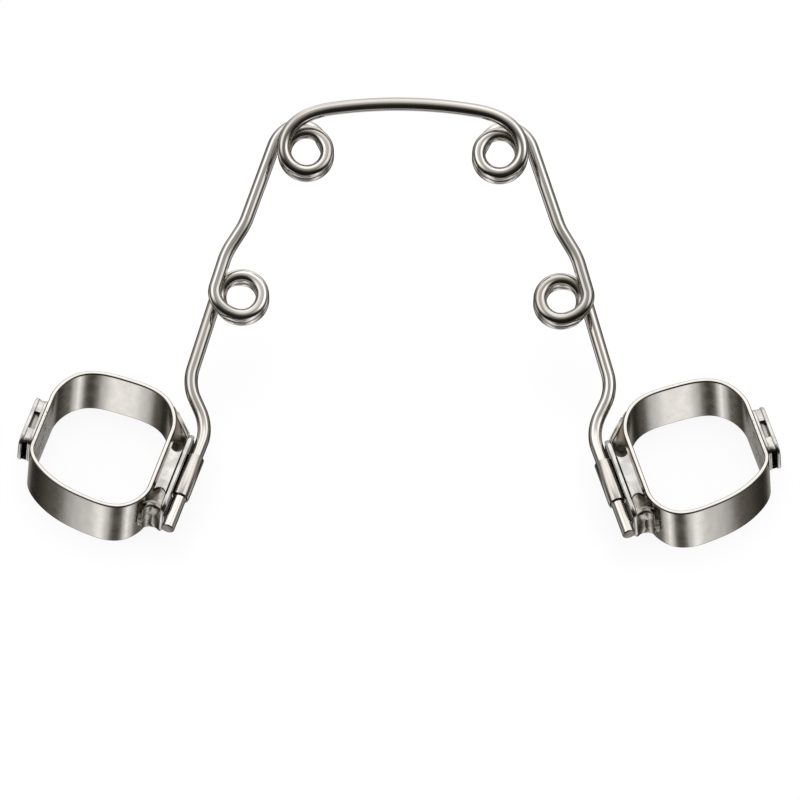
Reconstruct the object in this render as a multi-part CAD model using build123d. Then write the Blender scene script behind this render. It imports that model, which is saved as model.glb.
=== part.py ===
from build123d import *
import os
from math import acos, atan2, cos, degrees, pi, radians, sin, sqrt, tan

os.makedirs("parts", exist_ok=True)

# Palatal expander of the quad-helix kind: one round steel wire with four helices, its two straight
# ends running through round sheaths on a pair of molar bands.  +X right, +Y towards the bridge,
# +Z up, the bands standing with their lower rims on Z = 0.  The left side is built and mirrored.

# wire
wire_d = 0.965
ring_r = 1.53            # mean radius of every helix turn
turn_pitch = 1.09        # drop of one full turn, wire plus the air between two turns
vault_pitch = 21.0       # rise of the wire plane towards the bridge, degrees
front_ring_x = 6.94      # front helix axis from the midline
front_ring_t = 19.56     # front helix axis along the wire plane, from the first bend
rear_ring_x = 11.44
rear_ring_t = 9.38
bridge_r = 33.0
bridge_lap_run = 7.0     # length of wire in which the bridge winds down into the front helix
arm_lap = 2.45           # radius at which the front arm leaves the front helix
arm_lap_hold = 42.0      # part of a turn that the front arm runs at this radius, degrees
rear_lap_in = 1.90       # radius at which the front arm meets the rear helix
rear_lap_out = 1.78      # radius at which the rear arm leaves it
front_arm_lean = 18.8    # lean of the arms towards the midline, degrees
rear_arm_lean = 16.6
front_arm_run = 6.2      # front helix to the upper arm bend
mid_arm_run = 2.6        # lower arm bend to the rear helix
rear_arm_run = 7.0       # rear helix to the bayonet bend
arm_bend_r = 5.0
bayonet_bend_r = 3.2
blend = 90.0             # part of a turn in which an arm closes up to the ring, degrees

# molar bands
band_x = 21.0            # band centre from the midline, at the upper rim
band_turn = 17.0         # turn of each band in plan, its rear towards the cheek, degrees
band_h = 4.60
band_wall = 0.32
band_offset = 0.35       # the lower rim stands this much further to the cheek than the upper rim
lingual_half = 4.54      # band centre to the lingual wall
buccal_half = 4.86
lingual_wall_span = (-2.7, 2.2)  # straight part of the lingual wall, rear to front
buccal_wall_span = (-1.9, 2.3)
front_crown = ((3.32, 4.72), (0.0, 5.55), (-3.55, 4.91))  # lingual to buccal
rear_crown = ((-3.45, -3.86), (0.5, -5.22), (3.20, -4.98))  # buccal to lingual

# lingual attachment: pad, cleat with web and flange, sheath
lingual_pad_mid = -0.40  # middle of the pad along the wall, from the band centre
pad_t = 0.18
lingual_pad = (4.4, 3.5)
pad_corner = 0.6
pad_below_rim = 0.25
web_t = 0.84
web_len = 4.1
web_mid = -1.0
web_hollow_r = 0.45      # hollow at each end of the web
web_below_rim = 0.02
web_h = 3.2
flange_t = 0.40
flange_len = 6.9
flange_h = 3.5
flange_mid = -0.70
flange_below_rim = 0.15
flange_corner = 0.8
flange_edge_r = 0.15
sheath_od = 1.30
sheath_clearance = 0.04  # all round the wire, the running fit of the swivel
sheath_len = 3.5
sheath_mid = -0.62
sheath_below_rim = 1.0
sheath_seat = 0.08       # depth of the saddle in the flange
sheath_mouth = 0.07      # chamfer at both sheath mouths
wire_end = -5.15         # end of the wire along the sheath axis, from the band centre
first_bend = 3.9         # first bend of the wire, on the sheath axis
wire_end_break = 0.10

# strap from the band's front corner to the flange, and weld behind the web; ends along the wall and out
strap_t = 0.26
strap_band_end = (4.30, -0.82)
strap_end = 0.65         # strap's end from the flange's front end
strap_seat = 0.13        # depth of the strap's end in the flange
strap_below_rim = 0.14
strap_h = 3.3
strap_floor = 1.65       # top of the solder that fills the foot of the strap, below the rim
weld_end = 0.10          # weld's rear edge from the flange's rear end
weld_len = 0.80          # weld along the flange
weld_root = 0.50         # run of the weld's hollow along the band, past its rear edge
weld_hollow = (0.19, 0.35)  # deepest point of the hollow, from the rear edge and out from the wall
weld_below_rim = 0.75
weld_edge_r = 0.18

# buccal attachment: pad, tube, cover
buccal_mid = 0.10
buccal_below_rim = 0.05  # top of the tube and the cover
buccal_pad = (4.0, 2.9)
tube_t = 0.46
tube_len = 3.9
tube_h = 2.7
tube_corner = 0.45
slot_h = 2.00
slot_depth = 0.36
mouth_flare = 0.25
window_len = 1.45
window_depth = 0.30
cover_t = 0.26
cover_len = 4.25
cover_h = 2.85
cover_corner = 0.75
cover_edge_r = 0.09


def band_outline(inset, height, shift):
    """Closed band outline: two straight walls joined by a curved front and rear, drawn in by inset."""
    def drawn_in(point):
        run = sqrt(point[0] ** 2 + point[1] ** 2)
        return (point[0] * (1 - inset / run) + shift, point[1] * (1 - inset / run))

    lingual = lingual_half - inset + shift
    buccal = inset - buccal_half + shift
    corners = [(lingual, lingual_wall_span[0]), (lingual, lingual_wall_span[1]),
               (buccal, buccal_wall_span[1]), (buccal, buccal_wall_span[0])]
    front = [corners[1]] + [drawn_in(p) for p in front_crown] + [corners[2]]
    rear = [corners[3]] + [drawn_in(p) for p in rear_crown] + [corners[0]]
    edges = [Line(corners[0], corners[1]),
             Spline(*front, tangents=[(0, 1), (0, -1)], tangent_scalars=(1, 1)),
             Line(corners[2], corners[3]),
             Spline(*rear, tangents=[(0, -1), (0, 1)], tangent_scalars=(1, 1))]
    return Pos(0, 0, height) * make_face(Wire(edges))


def band_block(inset, below, above):
    """Solid between the lower and the upper outline, carried on past both rims by below and above."""
    lean = band_offset / band_h
    lower = band_outline(inset, -below, -band_offset - below * lean)
    upper = band_outline(inset, band_h + above, above * lean)
    return loft([lower, upper], ruled=True)


def plate(size, thickness, corner):
    """Flat plate with rounded corners, its inner face on the XY plane."""
    return extrude(RectangleRounded(size[0], size[1], corner), thickness)


# The band stands in its own plan frame: x to the tongue, y to the front.
band_frame = Location((-band_x, 0, 0), (0, 0, -band_turn))
band = band_block(0, 0, 0) - band_block(band_wall, 0.5, 0.5)

# Frames on the two leaning walls: origin on the upper rim, x along the wall, y up the wall, z outwards.
wall_lean = degrees(atan2(band_offset, band_h))
lingual_wall = Plane(origin=(lingual_half, 0, band_h), x_dir=(0, 1, 0),
                     z_dir=(cos(radians(wall_lean)), 0, -sin(radians(wall_lean))))
buccal_wall = Plane(origin=(-buccal_half, 0, band_h), x_dir=(0, -1, 0),
                    z_dir=(-cos(radians(wall_lean)), 0, sin(radians(wall_lean))))

# Lingual attachment, each piece seated on the one before it.
web_base = pad_t
flange_base = web_base + web_t
sheath_out = flange_base + flange_t + sheath_od / 2 - sheath_seat
sheath_bore = wire_d + 2 * sheath_clearance
lingual_pad_solid = plate(lingual_pad, pad_t, pad_corner)
lingual_pad_solid = Pos(lingual_pad_mid, -pad_below_rim - lingual_pad[1] / 2, 0) * lingual_pad_solid
web = Pos(web_mid, -web_below_rim - web_h / 2, web_base + web_t / 2) * Box(web_len, web_h, web_t)
for end in (-1, 1):
    hollow = Cylinder(web_hollow_r, 2 * web_h, rotation=(90, 0, 0))
    web -= Pos(web_mid + end * web_len / 2, -web_h / 2, web_base + web_t / 2) * hollow
flange = plate((flange_len, flange_h), flange_t, flange_corner)
flange = fillet(flange.edges(), flange_edge_r)
flange = Pos(flange_mid, -flange_below_rim - flange_h / 2, flange_base) * flange
sheath_axis = Pos(sheath_mid, -sheath_below_rim, sheath_out) * Rot(0, 90, 0)
saddle = sheath_axis * Cylinder(sheath_od / 2, 3 * flange_len)
cleat = web + flange - saddle
sheath = Cylinder(sheath_od / 2, sheath_len) - Cylinder(sheath_bore / 2, 2 * sheath_len)
sheath = chamfer(sheath.edges().filter_by(GeomType.CIRCLE).group_by(SortBy.RADIUS)[0], sheath_mouth)
sheath = sheath_axis * sheath



def down_the_wall(below_rim):
    """Plane across the wall, below the rim: x along the wall, y outwards, z down the wall."""
    return Plane(origin=(0, -below_rim, 0), x_dir=(1, 0, 0), z_dir=(0, -1, 0))


# Strap with its solder foot, and weld, close the gaps between band and flange, cut to what they meet.
strap_flange_end = (flange_mid + flange_len / 2 - strap_end, flange_base + strap_seat)
strap_run = (strap_flange_end[0] - strap_band_end[0], strap_flange_end[1] - strap_band_end[1])
strap_at = Pos(strap_band_end[0] + strap_run[0] / 2, strap_band_end[1] + strap_run[1] / 2)
strap_at *= Rot(0, 0, degrees(atan2(strap_run[1], strap_run[0])))
strap = extrude(strap_at * Rectangle(sqrt(strap_run[0] ** 2 + strap_run[1] ** 2), strap_t), strap_h)
strap_foot = Polyline(strap_band_end, strap_flange_end, (web_mid + web_len / 2, strap_flange_end[1]),
                      (web_mid + web_len / 2, -pad_t), close=True)
strap_foot = extrude(make_face(strap_foot), strap_below_rim + strap_h - strap_floor)
strap = down_the_wall(strap_below_rim) * strap + down_the_wall(strap_floor) * strap_foot
strap = lingual_wall * strap
weld_at = flange_mid - flange_len / 2 + weld_end
weld_stop = weld_at + weld_len
weld_corners = [(weld_at - weld_root, -pad_t), (weld_stop, -pad_t), (weld_stop, flange_base + flange_t / 2),
                (weld_at, flange_base + flange_t / 2)]
weld_sides = [Line(weld_corners[i], weld_corners[i + 1]) for i in range(3)]
weld_sides += [ThreePointArc(weld_corners[3], (weld_at + weld_hollow[0], weld_hollow[1]), weld_corners[0])]
weld = extrude(make_face(Wire(weld_sides)), flange_below_rim + flange_h - weld_below_rim)
weld = fillet(weld.edges().group_by(Axis.Z)[0], weld_edge_r)
weld = lingual_wall * (down_the_wall(weld_below_rim) * weld)
taken = [band_block(0, 0.5, 0.5), lingual_wall * cleat, lingual_wall * lingual_pad_solid]
for piece in taken:
    strap -= piece
    weld -= piece

# Buccal attachment: the tube is a channel open to the cheek, closed by the cover.
tube_y = -buccal_below_rim - cover_h / 2
tube_base = pad_t
cover_base = tube_base + tube_t
buccal_pad_solid = Pos(-buccal_mid, tube_y, 0) * plate(buccal_pad, pad_t, pad_corner)
tube = Pos(-buccal_mid, tube_y, tube_base) * plate((tube_len, tube_h), tube_t, tube_corner)
tube -= Pos(-buccal_mid, tube_y, cover_base - slot_depth / 2) * Box(2 * tube_len, slot_h, slot_depth)
for end in (-1, 1):
    mouth = Pos(-buccal_mid + end * tube_len / 2, tube_y, cover_base - slot_depth / 2) * Rot(0, end * 90, 0)
    flare = loft([mouth * Pos(0, 0, -mouth_flare) * Rectangle(slot_depth, slot_h),
                  mouth * Rectangle(slot_depth, slot_h + 2 * mouth_flare)])
    tube -= flare
window = Box(window_len, 2 * window_depth, tube_t)
tube -= Pos(-buccal_mid, tube_y + tube_h / 2, tube_base + tube_t / 2) * window
cover = plate((cover_len, cover_h), cover_t, cover_corner)
cover = fillet(cover.edges().group_by(Axis.Z)[-1], cover_edge_r)
cover = Pos(-buccal_mid, tube_y, cover_base) * cover

side = {
    "molar_band": band_frame * band,
    "lingual_weld_pad": band_frame * (lingual_wall * lingual_pad_solid),
    "lingual_cleat": band_frame * (lingual_wall * cleat),
    "lingual_sheath": band_frame * (lingual_wall * sheath),
    "lingual_strap": band_frame * strap,
    "lingual_weld": band_frame * weld,
    "buccal_weld_pad": band_frame * (buccal_wall * buccal_pad_solid),
    "buccal_tube": band_frame * (buccal_wall * tube),
    "buccal_cover": band_frame * (buccal_wall * cover),
}


def on_sheath_axis(along):
    """Point of the sheath axis, along measured to the front from the band centre."""
    point = lingual_wall.from_local_coords(Vector(along, -sheath_below_rim, sheath_out))
    return (band_frame * Pos(point)).position


# The wire plane rises from the first bend; its coordinates are x, t along the rise and n above it.
bend_1 = on_sheath_axis(first_bend)
wire_tip = on_sheath_axis(wire_end)
rise = radians(vault_pitch)


def in_wire_plane(x, t, n):
    return Vector(x, bend_1.Y + t * cos(rise) - n * sin(rise), bend_1.Z + t * sin(rise) + n * cos(rise))


def eased(u):
    """Smooth step from 0 to 1 with level ends."""
    u = min(max(u, 0.0), 1.0)
    return u * u * (3 - 2 * u)


def drop_of(theta, start, end):
    """Turns run through at theta: the slope fades in and out over one blend at each end."""
    def ramp(u):
        u = min(max(u, 0.0), 1.0)
        return blend * (u ** 3 - u ** 4 / 2)

    inner = min(max(theta, start + blend), end - blend) - start - blend
    return (ramp((theta - start) / blend) + inner + ramp(1) - ramp((end - theta) / blend)) / 360


def helix(centre, stations, level, head_in, head_out):
    """Wire round a helix axis through (angle, radius) stations, dropping from level as it turns."""
    start = stations[0][0]
    end = stations[-1][0]
    points = []
    for theta, r in stations:
        a = radians(theta)
        n = level - turn_pitch * drop_of(theta, start, end)
        points.append(in_wire_plane(centre[0] + r * cos(a), centre[1] + r * sin(a), n))

    def heading(direction):
        a = radians(direction)
        return in_wire_plane(cos(a), sin(a), 0) - in_wire_plane(0, 0, 0)

    return Spline(*points, tangents=[heading(head_in), heading(head_out)], tangent_scalars=(1, 1))


def stations(start, end, lap_in, lap_out, hold_out):
    """Stations from lap_in down to the ring, round it, and out to lap_out, held for hold_out."""
    count = 8 + round((end - start) / 30)
    found = []
    for i in range(count + 1):
        theta = start + (end - start) * i / count
        r = ring_r + (lap_in - ring_r) * (1 - eased((theta - start) / blend))
        r += (lap_out - ring_r) * eased((theta - end + hold_out + blend) / blend)
        found.append((theta, r))
    return found


def lap_spiral(run, outer_r, steps):
    """Curve that leaves the ring at angle 0, run backwards, its curvature easing evenly to outer_r:
    plan points about the helix axis and the heading at the far end, in radians."""
    x = ring_r
    y = 0.0
    heading = -pi / 2
    points = [(x, y)]
    for i in range(steps):
        curvature = 1 / ring_r + (1 / outer_r - 1 / ring_r) * (i + 0.5) / steps
        half_turn = curvature * run / steps / 2
        heading -= half_turn
        x += cos(heading) * run / steps
        y += sin(heading) * run / steps
        heading -= half_turn
        points.append((x, y))
    return points, heading


def turns(start, end):
    return drop_of(end, start, end) * turn_pitch


def bend(before, corner, after, radius):
    """Round bend at a corner of the wire: start point, arc and end point."""
    u = (before - corner).normalized()
    v = (after - corner).normalized()
    half = radians(u.get_angle(v)) / 2
    reach = radius / tan(half)
    axis = (u + v).normalized()
    middle = corner + axis * (radius / sin(half) - radius)
    start = corner + u * reach
    end = corner + v * reach
    return start, ThreePointArc(start, middle, end), end


# Front helix: the bridge winds down to the ring in a spiral.  The bridge centre has to stand on the
# midline, which sets the angle at which the spiral meets the ring.
front_ring = (-front_ring_x, front_ring_t)
rear_ring = (-rear_ring_x, rear_ring_t)
spiral, far_heading = lap_spiral(bridge_lap_run, bridge_r, 96)
far_x = spiral[-1][0] + bridge_r * sin(far_heading)
far_y = spiral[-1][1] - bridge_r * cos(far_heading)
reach = sqrt(far_x ** 2 + far_y ** 2)
towards = -degrees(acos(front_ring_x / reach))
meets_ring = (towards - degrees(atan2(far_y, far_x))) % 360
bridge_centre_t = front_ring_t + reach * sin(radians(towards))
lap_in = [(meets_ring - degrees(atan2(-y, x)) % 360, sqrt(x * x + y * y)) for x, y in spiral[::-12]]
bridge_end = 180 + meets_ring + degrees(far_heading) - 90
front_start = lap_in[0][0]
front_end = 720 + 180 - front_arm_lean
rear_start = 180 - rear_arm_lean
rear_end = rear_start + 720
rear_level = turns(rear_start, rear_end)
bridge_level = rear_level + turns(front_start, front_end)


def on_bridge(angle):
    a = radians(angle)
    return in_wire_plane(bridge_r * cos(a), bridge_centre_t + bridge_r * sin(a), bridge_level)


bridge = ThreePointArc(on_bridge(90), on_bridge((90 + bridge_end) / 2), on_bridge(bridge_end))
rounds = stations(meets_ring, front_end, ring_r, arm_lap, arm_lap_hold)
front_helix = helix(front_ring, lap_in + rounds[1:], bridge_level, bridge_end + 90, front_end + 90)
rounds = stations(rear_start, rear_end, rear_lap_in, rear_lap_out, 0)
rear_helix = helix(rear_ring, rounds, rear_level, rear_start + 90, rear_end + 90)


def along_arm(point, run, lean, level):
    """Point run ahead of the given plan point along an arm that leans to the midline."""
    return in_wire_plane(point[0] + run * sin(radians(lean)), point[1] + run * cos(radians(lean)), level)


def lap_point(ring, lap, lean):
    return (ring[0] - lap * cos(radians(lean)), ring[1] + lap * sin(radians(lean)))


front_exit = lap_point(front_ring, arm_lap, front_arm_lean)
rear_entry = lap_point(rear_ring, rear_lap_in, rear_arm_lean)
rear_exit = lap_point(rear_ring, rear_lap_out, rear_arm_lean)
arm_start = along_arm(front_exit, 0, 0, rear_level)
upper_corner = along_arm(front_exit, -front_arm_run, front_arm_lean, rear_level)
lower_corner = along_arm(rear_entry, mid_arm_run, rear_arm_lean, rear_level)
arm_end = along_arm(rear_entry, 0, 0, rear_level)
tail_start = along_arm(rear_exit, 0, 0, 0)
bayonet = along_arm(rear_exit, -rear_arm_run, rear_arm_lean, 0)

path = [bridge, front_helix]
here = arm_start
stops = [arm_start, upper_corner, lower_corner, arm_end]
for i in (1, 2):
    a, arc, b = bend(stops[i - 1], stops[i], stops[i + 1], arm_bend_r)
    path += [Line(here, a), arc]
    here = b
path += [Line(here, arm_end), rear_helix]
here = tail_start
stops = [tail_start, bayonet, bend_1, wire_tip]
for i in (1, 2):
    a, arc, b = bend(stops[i - 1], stops[i], stops[i + 1], bayonet_bend_r)
    path += [Line(here, a), arc]
    here = b
path += [Line(here, wire_tip)]

half_path = Wire(path)
section = Plane(origin=on_bridge(90), z_dir=(-1, 0, 0)) * Circle(wire_d / 2)
half_wire = sweep(section, path=half_path)
tip_edge = half_wire.edges().filter_by(GeomType.CIRCLE).sort_by_distance(wire_tip)[0]
half_wire = chamfer(tip_edge, wire_end_break)
wire = half_wire + mirror(half_wire, about=Plane.YZ)

nodes = {"quad_helix_wire": wire}
for name, piece in side.items():
    nodes["left_" + name] = piece
    nodes["right_" + name] = mirror(piece, about=Plane.YZ)

# The shared frame has its origin under the middle of the whole part.
whole = Compound(children=[Compound(piece.solids()) for piece in nodes.values()]).bounding_box()
to_origin = Pos(0, -whole.center().Y, -whole.min.Z)
for name, piece in nodes.items():
    export_step(to_origin * Compound(piece.solids()), "parts/" + name + ".step")
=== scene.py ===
import bpy
import numpy as np
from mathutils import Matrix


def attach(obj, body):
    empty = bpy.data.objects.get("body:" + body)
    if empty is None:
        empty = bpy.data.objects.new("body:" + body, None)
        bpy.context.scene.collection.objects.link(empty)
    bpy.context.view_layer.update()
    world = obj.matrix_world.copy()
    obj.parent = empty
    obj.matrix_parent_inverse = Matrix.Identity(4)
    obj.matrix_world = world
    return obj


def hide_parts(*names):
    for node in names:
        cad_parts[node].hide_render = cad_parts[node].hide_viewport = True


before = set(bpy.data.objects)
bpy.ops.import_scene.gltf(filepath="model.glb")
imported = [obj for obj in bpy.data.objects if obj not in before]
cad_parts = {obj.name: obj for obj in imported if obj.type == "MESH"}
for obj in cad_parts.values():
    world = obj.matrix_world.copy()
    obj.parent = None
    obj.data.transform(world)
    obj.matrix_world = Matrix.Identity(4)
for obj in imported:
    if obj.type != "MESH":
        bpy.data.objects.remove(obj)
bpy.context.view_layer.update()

# Expander wire: one round spring-steel wire, drawn and polished, bent by hand into a bridge, four
# helices, two arms and two bayonet ends, which run loose in the sheaths of the bands.
# Lengths in this script are in millimetres, times MM where Blender takes metres.
MM = 0.001
wire_d = 0.965
ring_r = 1.53
turn_pitch = 1.09
vault_pitch = np.radians(21.0)
front_ring = np.array([-6.94, 19.56])
rear_ring = np.array([-11.44, 9.38])
bridge_r = 33.0
bridge_lap_run = 7.0
arm_lap = 2.45
arm_lap_hold = 42.0
rear_lap_in = 1.90
rear_lap_out = 1.78
front_arm_lean = 18.8
rear_arm_lean = 16.6
front_arm_run = 6.2
mid_arm_run = 2.6
rear_arm_run = 7.0
arm_bend_r = 5.0
bayonet_bend_r = 3.2
blend = 90.0
wire_end_break = 0.10
bend_1 = np.array([-13.69312, -5.83044, 3.45191])
wire_tip = np.array([-16.33908, -14.48499, 3.45191])
wire_segments = 28
wire_rows = 1500
end_rows = np.array([0.0, 0.012, 0.04, 0.07, wire_end_break])
first_row = 0.2
grain_round = 2.6
grain_along = 0.05
drawn_dark = (0.48, 0.45, 0.41)
drawn_bright = (0.72, 0.69, 0.65)
cut_grey = (0.24, 0.22, 0.19)


class Socket:
    """One shader value; arithmetic on it adds maths nodes to its tree."""

    def __init__(self, tree, socket=None):
        self.tree = tree
        self.socket = socket

    def node(self, kind, out=0, inputs=None, **settings):
        """A new node of this kind in the same tree, with its settings and inputs, as a Socket."""
        made = self.tree.nodes.new(kind)
        for key, value in settings.items():
            setattr(made, key, value)
        for key, value in (inputs or {}).items():
            if isinstance(value, Socket):
                self.tree.links.new(value.socket, made.inputs[key])
            else:
                made.inputs[key].default_value = value
        return Socket(self.tree, made.outputs[out])

    def maths(self, operation, first, second=0.0):
        """A Math node on two values, each a Socket or a number."""
        return self.node("ShaderNodeMath", inputs={0: first, 1: second}, operation=operation)

    def __add__(self, other):
        return self.maths("ADD", self, other)

    def __sub__(self, other):
        return self.maths("SUBTRACT", self, other)

    def __rsub__(self, other):
        return self.maths("SUBTRACT", other, self)

    def __mul__(self, other):
        return self.maths("MULTIPLY", self, other)

    def __truediv__(self, other):
        return self.maths("DIVIDE", self, other)

    def __rtruediv__(self, other):
        return self.maths("DIVIDE", other, self)

    def __neg__(self):
        return self * -1.0

    def __abs__(self):
        return self.maths("ABSOLUTE", self)

    __radd__ = __add__
    __rmul__ = __mul__

    def larger(self, other):
        """The larger of this value and another."""
        return self.maths("MAXIMUM", self, other)

    def between(self, low, high):
        """Smooth step from 0 at low to 1 at high."""
        return self.node("ShaderNodeMapRange", inputs={0: self, 1: low, 2: high},
                         interpolation_type="SMOOTHSTEP")

    def below(self, low, high):
        """Smooth step from 1 at low to 0 at high."""
        return (-self).between(-high, -low)

    def ramp(self, stops):
        """Grey ramp, eased through (place, grey) stops."""
        made = self.node("ShaderNodeValToRGB", inputs={0: self})
        band = made.socket.node.color_ramp
        band.interpolation = "EASE"
        while len(band.elements) < len(stops):
            band.elements.new(1.0)
        for element, (place, grey) in zip(band.elements, stops):
            element.position = place
            element.color = (grey, grey, grey, 1.0)
        return made

    def mixed(self, first, second):
        """first where this value is 0, second where it is 1, each a Socket or a colour."""
        first, second = (tone if isinstance(tone, Socket) else (*tone, 1.0) for tone in (first, second))
        return self.node("ShaderNodeMix", out=2, inputs={0: self, 6: first, 7: second}, data_type="RGBA")

    def noise(self, scale, detail, **more):
        """Noise over this vector, with scale waves to its unit."""
        return self.node("ShaderNodeTexNoise",
                         inputs={"Vector": self, "Scale": scale, "Detail": detail, **more})

    def bump(self, strength, distance):
        """The normal of a surface raised by this height, a height of 1 being distance mm."""
        return self.node("ShaderNodeBump",
                         inputs={"Height": self, "Strength": strength, "Distance": distance * MM})

    def parts(self):
        """The three components of this vector."""
        made = self.node("ShaderNodeSeparateXYZ", inputs={0: self}).socket.node
        return [Socket(self.tree, part) for part in made.outputs]


def steel(name, roughness, colour):
    """A metal material with its plain values; returns it, its shader and a Socket to start nodes from."""
    made = bpy.data.materials.new(name)
    made.use_nodes = True
    shader = made.node_tree.nodes["Principled BSDF"]
    shader.inputs["Metallic"].default_value = 1.0
    shader.inputs["Roughness"].default_value = roughness
    shader.inputs["Base Color"].default_value = (*colour, 1.0)
    return made, shader, Socket(made.node_tree)


def feed(shader, **links):
    """Links sockets to the shader's inputs, named with underscores for spaces."""
    for key, value in links.items():
        value.tree.links.new(value.socket, shader.inputs[key.replace("_", " ")])


def in_wire_plane(x, t, n):
    """Wire-plane coordinates to the row frame: t rises with the vault, n stands on the plane."""
    c, s = np.cos(vault_pitch), np.sin(vault_pitch)
    x, t, n = np.broadcast_arrays(np.asarray(x, float), t, n)
    return np.stack([x, bend_1[1] + t * c - n * s, bend_1[2] + t * s + n * c], axis=-1)


def eased(u):
    """Smooth step: three times the square less twice the cube of u, held between 0 and 1."""
    u = np.clip(u, 0.0, 1.0)
    return u * u * (3 - 2 * u)


def turns_done(theta, start, end):
    """Turns run through at theta; the slope fades in and out over one blend at each end."""
    def ramp(u):
        u = np.clip(u, 0.0, 1.0)
        return blend * (u ** 3 - u ** 4 / 2)

    inner = np.clip(theta, start + blend, end - blend) - start - blend
    return (ramp((theta - start) / blend) + inner + ramp(1) - ramp((end - theta) / blend)) / 360


def helix(centre, theta, r, level):
    """Points round a helix axis at the angles theta and radii r, dropping from level with the turns."""
    a = np.radians(theta)
    n = level - turn_pitch * turns_done(theta, theta[0], theta[-1])
    return in_wire_plane(centre[0] + r * np.cos(a), centre[1] + r * np.sin(a), n)


def rounds(start, end, lap_in, lap_out, hold_out):
    """Angles and radii of the turns: lap_in eases to the ring, the ring to lap_out, held at the end."""
    theta = np.linspace(start, end, round((end - start) / 2) + 1)
    r = ring_r + (lap_in - ring_r) * (1 - eased((theta - start) / blend))
    return theta, r + (lap_out - ring_r) * eased((theta - end + hold_out + blend) / blend)


def lap_spiral(run, outer_r, steps):
    """Curve leaving the ring backwards at angle 0, its curvature easing evenly from the ring's to
    outer_r's: plan points about the helix axis, and the heading at the far end."""
    curvature = 1 / ring_r + (1 / outer_r - 1 / ring_r) * (np.arange(steps) + 0.5) / steps
    turn = np.cumsum(curvature) * run / steps
    heading = -np.pi / 2 - turn + curvature * run / steps / 2
    ahead = np.stack([np.cos(heading), np.sin(heading)], axis=1) * run / steps
    return np.vstack([[ring_r, 0], [ring_r, 0] + np.cumsum(ahead, axis=0)]), -np.pi / 2 - turn[-1]


def bent(stops, radius, step=0.05):
    """Points of a line through the stops with each inner corner rounded to the radius."""
    points = [stops[0][None]]
    for before, corner, after in zip(stops[:-2], stops[1:-1], stops[2:]):
        u = (before - corner) / np.linalg.norm(before - corner)
        v = (after - corner) / np.linalg.norm(after - corner)
        half = np.arccos(np.clip(u @ v, -1, 1)) / 2
        axis = (u + v) / np.linalg.norm(u + v)
        centre = corner + axis * radius / np.sin(half)
        sweep = np.pi / 2 - half
        count = max(3, int(2 * sweep * radius / step))
        angle = np.linspace(-sweep, sweep, count)[:, None]
        side = (v - u) / np.linalg.norm(v - u)
        points.append(centre - axis * radius * np.cos(angle) + side * radius * np.sin(angle))
    points.append(stops[-1][None])
    return np.concatenate(points)


def lap_point(ring, lap, lean):
    """Plan point where an arm of this lean touches a ring: lap from the ring's axis, square to the arm."""
    a = np.radians(lean)
    return ring + lap * np.array([-np.cos(a), np.sin(a)])


def along_arm(point, run, lean, level):
    """The point that lies run further up an arm of this lean from a plan point, at a level."""
    a = np.radians(lean)
    return in_wire_plane(point[0] + run * np.sin(a), point[1] + run * np.cos(a), level)


spiral, far_heading = lap_spiral(bridge_lap_run, bridge_r, 96)
far = spiral[-1] + bridge_r * np.array([np.sin(far_heading), -np.cos(far_heading)])
towards = -np.degrees(np.arccos(-front_ring[0] / np.linalg.norm(far)))
meets_ring = (towards - np.degrees(np.arctan2(far[1], far[0]))) % 360
bridge_t = front_ring[1] + np.linalg.norm(far) * np.sin(np.radians(towards))
bridge_end = 90 + meets_ring + np.degrees(far_heading)
front_end = 720 + 180 - front_arm_lean
rear_start = 180 - rear_arm_lean
rear_end = rear_start + 720
lap_theta = meets_ring - np.degrees(np.arctan2(-spiral[::-1, 1], spiral[::-1, 0])) % 360
lap_r = np.linalg.norm(spiral[::-1], axis=1)
turn_theta, turn_r = rounds(meets_ring, front_end, ring_r, arm_lap, arm_lap_hold)
front_theta = np.concatenate([lap_theta, turn_theta[1:]])
front_r = np.concatenate([lap_r, turn_r[1:]])
rear_theta, rear_r = rounds(rear_start, rear_end, rear_lap_in, rear_lap_out, 0)
rear_level = turn_pitch * turns_done(rear_end, rear_start, rear_end)
bridge_level = rear_level + turn_pitch * turns_done(front_end, front_theta[0], front_end)
sweep = np.radians(np.linspace(90, bridge_end, 40))
bridge = in_wire_plane(bridge_r * np.cos(sweep), bridge_t + bridge_r * np.sin(sweep), bridge_level)
front_exit = lap_point(front_ring, arm_lap, front_arm_lean)
rear_entry = lap_point(rear_ring, rear_lap_in, rear_arm_lean)
rear_exit = lap_point(rear_ring, rear_lap_out, rear_arm_lean)
arm = bent([along_arm(front_exit, 0, 0, rear_level),
            along_arm(front_exit, -front_arm_run, front_arm_lean, rear_level),
            along_arm(rear_entry, mid_arm_run, rear_arm_lean, rear_level),
            along_arm(rear_entry, 0, 0, rear_level)], arm_bend_r)
tail = bent([along_arm(rear_exit, 0, 0, 0), along_arm(rear_exit, -rear_arm_run, rear_arm_lean, 0),
             bend_1, wire_tip], bayonet_bend_r)
half = np.concatenate([bridge,
                       helix(front_ring, front_theta, front_r, bridge_level)[1:],
                       arm[1:],
                       helix(rear_ring, rear_theta, rear_r, rear_level)[1:],
                       tail[1:]])
line = np.concatenate([(half * [-1, 1, 1])[::-1], half[1:]])


def tube(line, run, radius, up, segments):
    """Rings round a line, run being its length so far: each ring is the circle across the line's
    direction, turned to face up."""
    ahead = np.gradient(line, run, axis=0)
    ahead /= np.linalg.norm(ahead, axis=1)[:, None]
    top = up - (ahead @ up)[:, None] * ahead
    top /= np.linalg.norm(top, axis=1)[:, None]
    across = np.cross(ahead, top)
    a = np.linspace(0, 2 * np.pi, segments, endpoint=False)
    ring = np.cos(a)[None, :, None] * top[:, None] + np.sin(a)[None, :, None] * across[:, None]
    return line[:, None] + np.asarray(radius)[..., None, None] * ring, a


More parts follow.
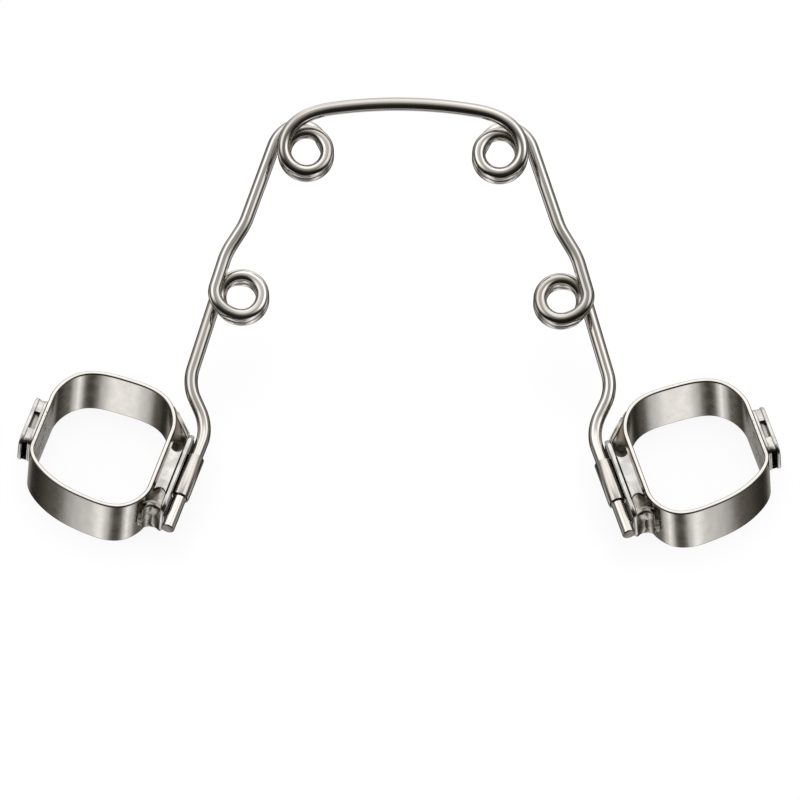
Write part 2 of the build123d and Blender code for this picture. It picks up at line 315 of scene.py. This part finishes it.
def grid_faces(rows, columns, rows_close=False, columns_close=True):
    """Quads of a grid, whose rows and columns may close on themselves."""
    r = np.arange(rows if rows_close else rows - 1)[:, None]
    c = np.arange(columns if columns_close else columns - 1)[None]
    r2, c2 = (r + 1) % rows, (c + 1) % columns
    quads = np.stack(np.broadcast_arrays(r * columns + c, r * columns + c2, r2 * columns + c2,
                                         r2 * columns + c), axis=-1)
    return quads.reshape(-1, 4).tolist()


def piece(name, points, faces, material, body, mirror=False, **fields):
    """A mesh object in the row frame from points in millimetres, riding on a body."""
    points = np.asarray(points, float).reshape(-1, 3) * MM
    if mirror:
        points = points * [-1, 1, 1]
        faces = [face[::-1] for face in faces]
    mesh = bpy.data.meshes.new(name)
    mesh.from_pydata(points.tolist(), [], faces)
    mesh.polygons.foreach_set("use_smooth", [True] * len(mesh.polygons))
    for key, values in fields.items():
        field = mesh.attributes.new(key, "FLOAT_VECTOR", "POINT")
        field.data.foreach_set("vector", np.asarray(values, np.float32).ravel())
    mesh.materials.append(material)
    mesh.update()
    made = bpy.data.objects.new(name, mesh)
    bpy.context.collection.objects.link(made)
    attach(made, body)
    return made


wire_steel, shader, s = steel("wire_steel", 0.14, (0.66, 0.63, 0.59))
drawn = s.node("ShaderNodeAttribute", out="Vector", attribute_name="lay").noise(1.0, 3.0, Roughness=0.6)
wear = s.node("ShaderNodeTexCoord", out="Object").noise(900.0, 4.0)
cut = s.node("ShaderNodeAttribute", out="Fac", attribute_name="cut")
tone = drawn.between(0.38, 0.58).mixed(drawn_dark, drawn_bright)
feed(shader, Base_Color=cut.mixed(tone, cut_grey),
     Roughness=wear.between(0.3, 0.7) * 0.07 + cut * 0.2 + 0.07, Normal=drawn.bump(0.12, 0.02))

up = np.array([0.0, -np.sin(vault_pitch), np.cos(vault_pitch)])
run = np.concatenate([[0], np.cumsum(np.linalg.norm(np.diff(line, axis=0), axis=1))])
at = np.concatenate([end_rows, np.linspace(first_row, run[-1] - first_row, wire_rows),
                     run[-1] - end_rows[::-1]])
line = np.stack([np.interp(at, run, line[:, k]) for k in range(3)], axis=1)
taper = np.minimum(np.minimum(at, run[-1] - at) / wire_end_break, 1.0)
radius = wire_d / 2 - wire_end_break * (1 - np.sqrt(taper * (2 - taper)))
rings, a = tube(line, at, radius, up, wire_segments)
lay = np.stack(np.broadcast_arrays(np.cos(a)[None] * grain_round, np.sin(a)[None] * grain_round,
                                   at[:, None] * grain_along), axis=-1)
cut = np.broadcast_to((taper < 0.99)[:, None, None], lay.shape)
faces = grid_faces(len(at), wire_segments)
faces.append(list(range(wire_segments))[::-1])
faces.append(list(range((len(at) - 1) * wire_segments, len(at) * wire_segments)))
wire = piece("expander_wire", rings, faces, wire_steel, "wire", lay=lay, cut=cut)
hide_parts("quad_helix_wire")

# Molar bands: thin polished stainless strip, pressed to a rounded square and welded into a ring, with
# burnished rims, whose rounded edges carry painted shade as thin dark lines.  The walls lean a little, so
# the lower rim stands further to the cheek.  Heat has left spots inside, behind the cheek-side weld, and a
# warm tint by the rear solder.
band_x = 21.0
band_turn = np.radians(17.0)
band_mid_y = -7.67470
band_h = 4.60
band_wall = 0.32
band_offset = 0.35
lingual_half = 4.54
buccal_half = 4.86
lingual_span = (-2.7, 2.2)
buccal_span = (-1.9, 2.3)
front_crown = np.array([(3.32, 4.72), (0.0, 5.55), (-3.55, 4.91)])
rear_crown = np.array([(-3.45, -3.86), (0.5, -5.22), (3.20, -4.98)])
rim_round = 0.10
rim_flat = 0.02
wall_rows = np.array([0.14, 0.3, 1.2, 2.3, 3.4, band_h - 0.3, band_h - 0.14])
wall_points = 24
crown_points = 140
last_step = 0.2
rolled_round = 9.0
rolled_up = 0.8
rolled_dark = (0.61, 0.58, 0.54)
rolled_bright = (0.66, 0.63, 0.59)
rim_painted_shade = (0.16, 0.14, 0.12)
spot_dark = (0.28, 0.25, 0.22)
heat_tint = (0.46, 0.39, 0.31)
sides = (("left", False), ("right", True))


def crown_curve(points, first, last, count):
    """Cubic spline through the points, run by chord length, with unit slopes first and last."""
    h = np.linalg.norm(np.diff(points, axis=0), axis=1)
    t = np.concatenate([[0], np.cumsum(h)])
    system = np.eye(len(points))
    right = np.zeros_like(points)
    right[0], right[-1] = first, last
    for i in range(1, len(points) - 1):
        system[i, i - 1:i + 2] = h[i], 2 * (h[i - 1] + h[i]), h[i - 1]
        right[i] = 3 * (h[i] / h[i - 1] * (points[i] - points[i - 1])
                        + h[i - 1] / h[i] * (points[i + 1] - points[i]))
    slope = np.linalg.solve(system, right)
    at = np.linspace(0, t[-1], count)
    k = np.clip(np.searchsorted(t, at) - 1, 0, len(h) - 1)
    u = ((at - t[k]) / h[k])[:, None]
    g = h[k][:, None]
    return ((1 + 2 * u) * (1 - u) ** 2 * points[k] + u * (1 - u) ** 2 * g * slope[k]
            + u * u * (3 - 2 * u) * points[k + 1] + u * u * (u - 1) * g * slope[k + 1])


def band_outline(inset):
    """Band outline drawn in by inset: two straight walls and two curved crowns, as plan points."""
    def drawn_in(points):
        return points * (1 - inset / np.linalg.norm(points, axis=1))[:, None]

    lingual, buccal = lingual_half - inset, inset - buccal_half
    front = np.vstack([[(lingual, lingual_span[1])], drawn_in(front_crown), [(buccal, buccal_span[1])]])
    rear = np.vstack([[(buccal, buccal_span[0])], drawn_in(rear_crown), [(lingual, lingual_span[0])]])
    walls = [np.stack([np.full(wall_points, x), np.linspace(*span, wall_points)], axis=1)
             for x, span in ((lingual, lingual_span), (buccal, buccal_span[::-1]))]
    return np.vstack([walls[0][:-1], crown_curve(front, (0, 1), (0, -1), crown_points)[:-1],
                      walls[1][:-1], crown_curve(rear, (0, -1), (0, 1), crown_points)[:-1]])


def to_row(plan, z):
    """Points in the left band's plan frame to the row frame: turned by band_turn, set at its middle."""
    c, s = np.cos(band_turn), np.sin(band_turn)
    x, y = plan[..., 0], plan[..., 1]
    return np.stack(np.broadcast_arrays(-band_x + x * c + y * s, band_mid_y - x * s + y * c, z), axis=-1)


def rim_profile():
    """Closed section of the band wall as (inset, height): two walls and two rounded rims."""
    q = np.radians(np.linspace(0, 90, 7))
    rise = rim_round * np.sin(q)
    draw = rim_round * (1 - np.cos(q))
    outer = np.stack([0 * wall_rows, wall_rows], axis=1)
    up_over = np.stack([draw, band_h - rim_round + rise], axis=1)
    flat = np.array([[rim_round + rim_flat, band_h], [band_wall - rim_round - rim_flat, band_h]])
    half = np.vstack([outer, up_over, flat])
    inner = np.stack([band_wall - half[::-1, 0], half[::-1, 1]], axis=1)
    upper = np.vstack([half, inner[2:]])
    down_over = np.stack([band_wall - up_over[::-1, 0], up_over[::-1, 1]], axis=1)
    lower = np.vstack([up_over, flat, down_over])
    lower = np.stack([lower[::-1, 0], band_h - lower[::-1, 1]], axis=1)
    return np.vstack([upper, lower])


band_steel, shader, s = steel("band_steel", 0.16, (0.64, 0.61, 0.57))
rolled = s.node("ShaderNodeAttribute", out="Vector", attribute_name="lay").noise(1.0, 2.0)
rim_shade_mask = s.node("ShaderNodeAttribute", out="Fac", attribute_name="rim")
plan = s.node("ShaderNodeAttribute", out="Vector", attribute_name="plan")
scuff = plan.noise(1.3, 5.0, Roughness=0.6)
spots = plan.noise(1.6, 2.5, Distortion=1.2)
u, v, z = plan.parts()
upright = u - z * (band_offset / band_h) + band_offset
inside = upright.below(-4.4, -4.0) * upright.between(-4.78, -4.60)
behind_tube = inside * v.between(-2.3, -1.5) * v.below(1.6, 2.4) * z.between(0.6, 1.4)
mark = spots.between(0.44, 0.66) * behind_tube
by_weld = u.between(2.6, 3.9) * v.below(-3.6, -2.6) * z.below(1.6, 3.6)
tone = rolled.between(0.3, 0.7).mixed(rolled_dark, rolled_bright)
# Painted shade: the rims' rounded edges turn dark, a thin dark line on either side of each rim.
tone = rim_shade_mask.mixed(tone, rim_painted_shade)
tone = mark.mixed(tone, spot_dark)
tone = (by_weld * scuff.between(0.40, 0.65)).mixed(tone, heat_tint)
height = rolled * 0.1 + spots * behind_tube * 0.6 + spots * by_weld * 0.2
feed(shader, Base_Color=tone, Roughness=scuff.between(0.35, 0.65) * 0.06 + mark * 0.15 + 0.13,
     Normal=height.bump(0.45, 0.08))

profile = rim_profile()
outlines = {inset: band_outline(inset) for inset in np.unique(profile[:, 0].round(5))}
rows = []
plans = []
for inset, z in profile.round(5):
    leaned = outlines[inset] - [band_offset * (1 - z / band_h), 0]
    rows.append(to_row(leaned, z))
    plans.append(np.column_stack([leaned, np.full(len(leaned), z)]))
rows = np.array(rows)
around = np.concatenate([[0], np.cumsum(np.linalg.norm(np.diff(outlines[0.0], axis=0), axis=1))])
ring = around / (around[-1] + last_step) * 2 * np.pi
lay = np.stack(np.broadcast_arrays(np.cos(ring)[None] * rolled_round, np.sin(ring)[None] * rolled_round,
                                   profile[:, 1:2] * rolled_up), axis=-1)
into_wall = np.minimum(profile[:, 0], band_wall - profile[:, 0])
into_end = np.minimum(profile[:, 1], band_h - profile[:, 1])
# Where each rim rounds off into a wall: the mask for the rims' painted shade.
rim = np.where((into_end < rim_round * 1.2) & (into_wall < rim_round * 0.6), 1.0, 0.0)
rim = np.broadcast_to(rim[:, None, None], lay.shape)
for side, mirror in sides:
    made = piece(side + "_band", rows, grid_faces(*rows.shape[:2], rows_close=True), band_steel,
                 side + "_band", mirror, lay=lay, plan=plans, rim=rim)
    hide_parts(side + "_molar_band")

# Lingual fittings: a weld pad, a cast cleat with web and flange, and a drawn round sheath brazed into
# the flange's saddle, all of stainless steel.  Tumbled after casting, so every edge is soft.
pad_round = 0.05
cleat_round = 0.09
sheath_round = 0.03
edge_width = 0.10
corner_reach = 0.6
cast_dark = (0.43, 0.41, 0.39)
cast_bright = (0.60, 0.58, 0.56)
edge_painted_shade = (0.17, 0.15, 0.13)
corner_painted_shade = (0.20, 0.18, 0.16)
sheath_dark = (0.34, 0.31, 0.28)
sheath_bright = (0.60, 0.57, 0.53)
sheath_grain_round = 4200.0
sheath_grain_along = 120.0


def edge_of(s, width):
    """1 along the edges of a piece and 0 on its faces, where shade is painted: how far the normal turns
    within width mm.
    """
    flat = s.node("ShaderNodeNewGeometry", out="Normal")
    round_off = s.node("ShaderNodeBevel", inputs={"Radius": width * MM}, samples=6)
    turned = s.node("ShaderNodeVectorMath", out="Value", inputs={0: flat, 1: round_off},
                    operation="DOT_PRODUCT")
    return turned.below(0.80, 0.985)


def corner_of(s, reach):
    """1 in corners and pockets, 0 in the open, a mask for painted shade: how much stands round a point
    within reach mm.
    """
    open_air = s.node("ShaderNodeAmbientOcclusion", out="AO", inputs={"Distance": reach * MM}, samples=8)
    return open_air.below(0.35, 0.80)


fitting_steel, shader, s = steel("fitting_steel", 0.2, (0.62, 0.59, 0.55))
where = s.node("ShaderNodeTexCoord", out="Object")
cast = where.noise(2200.0, 3.0)
blotch = where.noise(900.0, 3.0, Distortion=0.6)
tone = blotch.between(0.34, 0.66).mixed(cast_dark, cast_bright)
# Painted shade: every edge of the fittings is darkened to a dark line.
tone = edge_of(s, edge_width).mixed(tone, edge_painted_shade)
# Painted shade: corners and crevices between the pieces are darkened where ambient occlusion finds them
# closed in.
tone = corner_of(s, corner_reach).mixed(tone, corner_painted_shade)
feed(shader, Base_Color=tone, Roughness=cast.between(0.3, 0.7) * 0.14 + 0.12,
     Normal=(blotch * 0.8 + cast * 0.2).bump(0.35, 0.08))

sheath_steel, shader, s = steel("sheath_steel", 0.18, (0.66, 0.62, 0.58))
x, y, z = s.node("ShaderNodeTexCoord", out="Object").parts()
from_mid = abs(x)
across = from_mid * np.cos(band_turn) + y * np.sin(band_turn)
along = y * np.cos(band_turn) - from_mid * np.sin(band_turn)
lay = s.node("ShaderNodeCombineXYZ", inputs={0: across * sheath_grain_round, 1: z * sheath_grain_round,
                                             2: along * sheath_grain_along})
drawn = lay.noise(1.0, 3.0)
feed(shader, Base_Color=drawn.between(0.36, 0.60).mixed(sheath_dark, sheath_bright),
     Roughness=drawn.between(0.3, 0.7) * 0.10 + 0.12, Normal=drawn.bump(0.15, 0.03))


def soften(node, width, material):
    """Rounds the sharp edges of a CAD node to width and gives it a material."""
    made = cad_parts[node]
    made.data.materials.clear()
    made.data.materials.append(material)
    weld = made.modifiers.new("weld", "WELD")
    weld.merge_threshold = 0.002 * MM
    bevel = made.modifiers.new("bevel", "BEVEL")
    bevel.width = width * MM
    bevel.segments = 3
    bevel.limit_method = "ANGLE"
    bevel.angle_limit = np.radians(35)
    bevel.harden_normals = True
    made.data.polygons.foreach_set("use_smooth", [True] * len(made.data.polygons))


for side, _ in sides:
    soften(side + "_lingual_weld_pad", pad_round, fitting_steel)
    soften(side + "_lingual_cleat", cleat_round, fitting_steel)
    soften(side + "_lingual_sheath", sheath_round, sheath_steel)

# Straps, welds and solder: a strip from each band's front corner to the flange and a weld in the rear
# corner, run over with silver solder by torch.  It is left as it set, grey-brown with lumps and folds.
lump_span = 0.7
lump_rise = 0.03
melt_grain = 0.05
bead_dark = (0.28, 0.25, 0.22)
bead_bright = (0.46, 0.43, 0.39)
burnt_brown = (0.36, 0.31, 0.25)
pocket_painted_shade = (0.17, 0.15, 0.12)
pocket_reach = 0.9
wall_sink = 0.10
flange_out = 1.07
strap_out = 1.37
strap_meets = 2.10
strap_lean = 0.8955
strap_top = 0.11
strap_fall = 0.75
strap_falls_from = 2.45
strap_falls_over = 1.3
fill_top = 0.14
front_fill = (1.05, 3.90)
front_fall = 0.95
front_hollow = 0.8
skirt = [0.08, 0.60]
skirt_flare = 0.05
rear_fill_front = -2.55
rear_fill_back = -4.50
rear_hollow = 0.5
lip_r = 0.40
lip_depth = 0.72
face_rise = 2.20
face_curl = 1.78
face_drop = 2.20
toe_run = 0.30
toe_drop = 0.28
fold_mid = 0.52
fold_swing = 0.20
fold_wave = 2.4
fold_start = 1.2
fold_width = 0.14
fold_rise = 0.13
fold_from = 0.8
fold_over = 0.8

weld_steel, shader, s = steel("weld_steel", 0.22, (0.58, 0.55, 0.51))
where = s.node("ShaderNodeTexCoord", out="Object")
bead = where.noise(900.0, 1.5, Distortion=0.8)
burnt = where.noise(700.0, 2.0)
tone = bead.between(0.36, 0.62).mixed(bead_dark, bead_bright)
tone = burnt.between(0.56, 0.74).mixed(tone, burnt_brown)
# Painted shade: pockets and corners of the solder are darkened where ambient occlusion finds them closed
# in.
tone = corner_of(s, pocket_reach).mixed(tone, pocket_painted_shade)
feed(shader, Base_Color=tone, Roughness=bead.between(0.3, 0.7) * 0.10 + 0.13,
     Normal=bead.bump(0.4, 0.08))
lumps = bpy.data.textures.new("lumps", "CLOUDS")
lumps.noise_scale = lump_span * MM


def melt(node):
    """Gives a CAD node the run-together look of solder: an even mesh, smoothed, raised in small lumps."""
    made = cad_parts[node]
    made.data.materials.clear()
    made.data.materials.append(weld_steel)
    even = made.modifiers.new("even", "REMESH")
    even.mode = "VOXEL"
    even.voxel_size = melt_grain * MM
    even.use_smooth_shade = True
    calm = made.modifiers.new("calm", "SMOOTH")
    calm.factor = 0.5
    calm.iterations = 45
    raised = made.modifiers.new("raised", "DISPLACE")
    raised.texture = lumps
    raised.texture_coords = "LOCAL"
    raised.strength = lump_rise * MM
    raised.mid_level = 0.5


def wall_at(v, end):
    """How far the band's outer wall stands out at v, on its front (end 1) or rear (end -1) half, less
    what the solder sinks into it."""
    near = outlines[0.0][(outlines[0.0][:, 0] > 2.0) & (outlines[0.0][:, 1] * end > 0)]
    near = near[np.argsort(near[:, 1])]
    return np.interp(v, near[:, 1], near[:, 0]) - wall_sink


def on_the_wall(u, v, depth):
    """Points at a depth below the rim, leaning with the band's wall, in the row frame."""
    u, v, depth = np.broadcast_arrays(u, v, depth)
    return to_row(np.stack([u - band_offset * depth / band_h, v], axis=-1), band_h - depth)


def solder_front():
    """Solder in the corner between band and strap: ruled across from the wall to the strap's outer top
    edge and turned down over it, falling to the rear, with a hollow along the middle."""
    v = np.linspace(*front_fill, 40)[:, None]
    across = np.concatenate([np.linspace(0, 1, 14), [1.0, 1.0]])[None]
    turned_down = np.concatenate([np.zeros(14), skirt])[None]
    back = (front_fill[1] - v) / (front_fill[1] - front_fill[0])
    wall = wall_at(v, 1)
    strap = lingual_half + np.minimum(flange_out, strap_out - strap_lean * (v - strap_meets))
    wall_depth = fill_top + front_fall * back ** 1.1
    strap_depth = strap_top + strap_fall * eased((strap_falls_from - v) / strap_falls_over)
    hollow = front_hollow * back * across * (1 - across)
    depth = wall_depth + (strap_depth - wall_depth) * across + hollow
    u = wall + (strap - wall) * across + turned_down * skirt_flare
    return on_the_wall(u, v, depth + turned_down)


def solder_rear():
    """Solder behind the web: ruled across from the band's wall to the flange.  Its rows fall over the
    weld's top, turn a rounded edge and run down its hollow rear face, where a fold winds down."""
    across = np.linspace(0, 1, 30)[None]
    face = rear_fill_back + face_rise * across - face_curl * across ** 2
    top = np.linspace(0, 1, 14)[:, None]
    edge = np.radians(np.linspace(0, 90, 14))[1:, None]
    fall = np.linspace(0, 1, 24)[1:, None]
    under = np.radians(np.linspace(0, 90, 7))[1:, None]
    v = np.concatenate([rear_fill_front + (face + lip_r - rear_fill_front) * top,
                        face + lip_r * (1 - np.sin(edge)),
                        face + 0 * fall,
                        face + toe_run * (1 - np.cos(under))])
    depth = np.concatenate([fill_top + (lip_depth - fill_top) * top,
                            lip_depth + lip_r * (1 - np.cos(edge)),
                            lip_depth + lip_r + face_drop * fall,
                            lip_depth + lip_r + face_drop + toe_drop * np.sin(under)])
    fold_at = fold_mid + fold_swing * np.sin(fold_wave * depth - fold_start)
    fold = np.exp(-((across - fold_at) / fold_width) ** 2) * eased((depth - fold_from) / fold_over)
    v = v - fold_rise * fold
    hollow = rear_hollow * eased((0.8 - depth) / 0.5) * across * (1 - across)
    wall = wall_at(v[:, :1], -1)
    return on_the_wall(wall + (lingual_half + flange_out - wall) * across, v, depth + hollow)


fills = (("_solder_front", solder_front()), ("_solder_rear", solder_rear()))
for side, mirror in sides:
    melt(side + "_lingual_strap")
    melt(side + "_lingual_weld")
    for name, points in fills:
        faces = grid_faces(*points.shape[:2], columns_close=False)
        piece(side + name, points, faces, weld_steel, side + "_band", mirror)

# Buccal fittings: a weld pad, an archwire channel and its cover plate on each band's cheek side,
# stamped from stainless sheet and spot-welded together.
channel_round = 0.05
for side, _ in sides:
    soften(side + "_buccal_weld_pad", pad_round, fitting_steel)
    soften(side + "_buccal_tube", channel_round, fitting_steel)
    soften(side + "_buccal_cover", channel_round, fitting_steel)

# Studio: a pale floor and a white surround under one large soft lamp.  In place of the white and of the
# floor, reflections see bright panels and dark gaps round the object, which give the steel its bands.
floor_mesh = bpy.data.meshes.new("floor")
floor_mesh.from_pydata([(-2, -2, 0), (2, -2, 0), (2, 2, 0), (-2, 2, 0)], [], [(0, 1, 2, 3)])
floor = bpy.data.objects.new("floor", floor_mesh)
bpy.context.collection.objects.link(floor)
floor.visible_glossy = False
pale = bpy.data.materials.new("floor_pale")
pale.use_nodes = True
matt = pale.node_tree.nodes["Principled BSDF"]
matt.inputs["Base Color"].default_value = (0.97, 0.97, 0.97, 1.0)
matt.inputs["Roughness"].default_value = 0.9
matt.inputs["Specular IOR Level"].default_value = 0.0


def seen_by(s, *kinds):
    """1 for rays of these kinds and 0 for the others."""
    return sum(s.node("ShaderNodeLightPath", out="Is " + kind + " Ray") for kind in kinds)


f = Socket(pale.node_tree)
glow = f.node("ShaderNodeEmission", inputs={"Color": (1.0, 1.0, 1.0, 1.0), "Strength": 1.0})
mixed = f.node("ShaderNodeMixShader", inputs={0: seen_by(f, "Camera", "Transmission") * 0.90,
                                              1: Socket(f.tree, matt.outputs[0]), 2: glow})
f.tree.links.new(mixed.socket, f.tree.nodes["Material Output"].inputs["Surface"])
floor_mesh.materials.append(pale)

upper_level = 1.6
lower_level = 1.4
white = (1.0, 1.0, 1.0)
shade_warm = (1.0, 0.92, 0.78)
front_to_back = [(0.075, 0.01), (0.165, 0.02), (0.28, 0.10), (0.415, 0.29), (0.57, 0.46),
                 (0.70, 0.95), (0.84, 1.0), (0.97, 0.82), (1.0, 0.65)]
round_below = [(0.0, 0.045), (0.045, 0.06), (0.09, 0.17), (0.15, 0.52), (0.22, 0.93), (0.30, 0.55),
               (0.42, 0.09), (0.60, 0.02), (0.78, 0.06), (0.88, 0.08), (0.94, 0.55), (1.0, 0.45)]
world = bpy.data.worlds.new("studio")
world.use_nodes = True
bpy.context.scene.world = world
w = Socket(world.node_tree)
x, y, z = w.node("ShaderNodeTexCoord", out="Generated").parts()
wide = abs(x)
deep = -z
turn = w.maths("ARCTAN2", wide, -y) / np.pi
back = (y * 0.5 + 0.5).ramp(front_to_back) * (1 - wide.between(0.28, 0.84) * 0.78)
flank = wide.between(0.22, 0.56) * z.between(0.25, 0.62) * y.between(-0.60, -0.15)
upper = back.larger(flank) * upper_level
behind = turn.between(0.66, 0.80) * turn.below(0.86, 0.96) * deep.between(0.66, 0.80)
beside = turn.between(0.42, 0.48) * turn.below(0.56, 0.64) * z.between(-0.70, -0.55)
ahead = deep.between(0.42, 0.56) * deep.below(0.70, 0.79) * turn.below(0.05, 0.13)
lower = turn.ramp(round_below) * lower_level + behind * 0.20
lower = lower.larger(beside * 0.70).larger(ahead * 0.55).larger(deep.between(0.86, 0.95) * 0.60)
down = deep.between(0.05, 0.35)
room = upper * (1 - down) + lower * down
warm = room.between(0.0, 0.5).mixed(shade_warm, white)
glossy = seen_by(w, "Glossy")
level = seen_by(w, "Camera", "Transmission") * 0.20 + 0.80
level = glossy * (room - level) + level
feed(w.tree.nodes["Background"], Color=glossy.mixed(white, warm), Strength=level)

lamp_data = bpy.data.lights.new("overhead", "AREA")
lamp_data.shape = "DISK"
lamp_data.size = 0.5
lamp_data.energy = 1.6
lamp = bpy.data.objects.new("overhead", lamp_data)
lamp.location = (0.0, 0.12, 0.6)
lamp.rotation_euler = (-0.2, 0, 0)
lamp.visible_glossy = False
bpy.context.collection.objects.link(lamp)

# Camera: a long lens 56 degrees above the table, looking towards the bridge, 14 of the picture's 800
# pixels to a millimetre.  A slight roll evens out the heights of the two bands in the picture.
elevation = np.radians(56.0)
roll = np.radians(0.7)
target = np.array([0.0, -3.60, 4.0]) * MM
distance = 0.6
view_width = 800 / 14.0 * MM
sensor_width = 36.0
camera_data = bpy.data.cameras.new("camera")
camera = bpy.data.objects.new("camera", camera_data)
bpy.context.collection.objects.link(camera)
camera_data.sensor_width = sensor_width
camera_data.lens = sensor_width * distance / view_width
camera_data.clip_start = 0.01
camera.location = target + distance * np.array([0, -np.cos(elevation), np.sin(elevation)])
camera.rotation_mode = "ZYX"
camera.rotation_euler = (np.pi / 2 - elevation, 0, roll)
bpy.context.scene.camera = camera
bpy.context.scene.view_settings.view_transform = "Standard"
